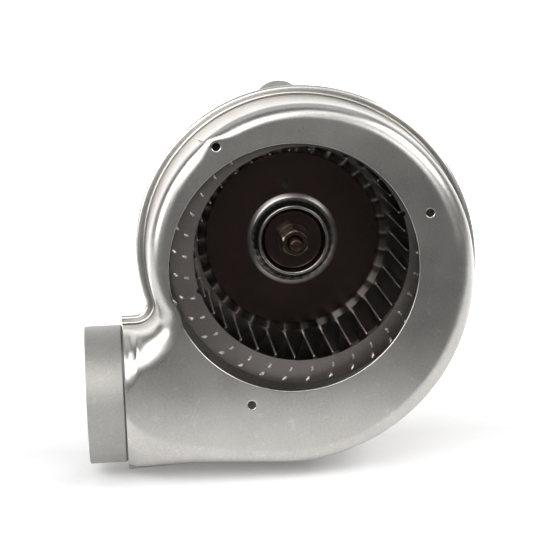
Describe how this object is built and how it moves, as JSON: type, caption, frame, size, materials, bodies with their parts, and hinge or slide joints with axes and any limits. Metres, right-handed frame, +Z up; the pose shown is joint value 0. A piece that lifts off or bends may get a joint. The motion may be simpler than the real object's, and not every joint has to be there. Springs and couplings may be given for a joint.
{
  "type": "combustion fan",
  "caption": "Scroll-cased centrifugal combustion fan with a round side outlet, an eccentric inlet opening, a forward-curved impeller and a shaded-pole motor behind.",
  "frame": {"origin": "centre of the inlet opening on the casing's front face", "axes": "+Y into the casing along the shaft, +Z up, outlet spigot points along -X"},
  "size_m": [0.1725, 0.139, 0.1666],
  "materials": {
    "pressed_steel": "satin pressed aluminised sheet",
    "pressed_steel_rear": "satin pressed aluminised sheet",
    "spigot_steel": "satin rolled tube",
    "impeller_steel": "dull sheet",
    "blade_steel": "dull sheet, bright cut edges",
    "disc_steel": "semi-bright pressed sheet",
    "zinc_yellow": "yellow zinc plated",
    "turned_steel": "turned",
    "shaft_steel": "ground",
    "felt": "pressed felt",
    "zinc_bright": "zinc plated",
    "aluminium_plain": "satin",
    "plate_steel": "galvanised sheet",
    "grommet_rubber": "matt",
    "die_cast": "as cast",
    "sintered_bronze": "porous",
    "lamination_steel": "stacked laminations",
    "copper": "drawn copper",
    "bobbin_plastic": "moulded",
    "coil_tape": "varnished winding",
    "tinned_brass": "stamped",
    "nylon": "moulded",
    "spring_steel": "blackened spring steel"
  },
  "bodies": {
    "casing": {"front_casing": "pressed_steel", "rear_casing": "pressed_steel_rear", "outlet_spigot": "spigot_steel", "shaft_seal": "felt", "seal_retainer": "zinc_bright", "seal_rivets": "aluminium_plain", "mount_spacers": "zinc_bright", "motor_plate": "plate_steel", "rubber_grommets": "grommet_rubber", "grommet_sleeves": "zinc_bright", "plate_washers": "zinc_bright", "plate_screws": "zinc_bright", "front_bearing_bracket": "die_cast", "rear_bearing_bracket": "die_cast", "front_bearing": "sintered_bronze", "rear_bearing": "sintered_bronze", "oil_felts": "felt", "bearing_clips": "zinc_bright", "stator_core": "lamination_steel", "shading_rings": "copper", "coil_bobbin": "bobbin_plastic", "coil_winding": "coil_tape", "terminal_tabs": "tinned_brass", "earth_tab": "tinned_brass", "tie_screws": "zinc_bright", "tie_nuts": "zinc_bright"},
    "rotor": {"impeller_front_ring": "impeller_steel", "impeller_blades": "blade_steel", "impeller_back_disc": "disc_steel", "impeller_washer": "zinc_yellow", "impeller_nut": "zinc_yellow", "lock_nut": "zinc_yellow", "impeller_collar": "turned_steel", "motor_shaft": "shaft_steel", "cooling_fan": "aluminium_plain", "rotor_core": "lamination_steel", "rotor_cage": "aluminium_plain", "thrust_washers": "nylon", "shaft_clips": "spring_steel"}
  },
  "joints": [
    {"name": "impeller_spin", "type": "hinge", "parent": "casing", "child": "rotor", "pos_m": [0.004, 0.03, 0.0042], "axis": [0, 1, 0], "continuous": true}
  ]
}
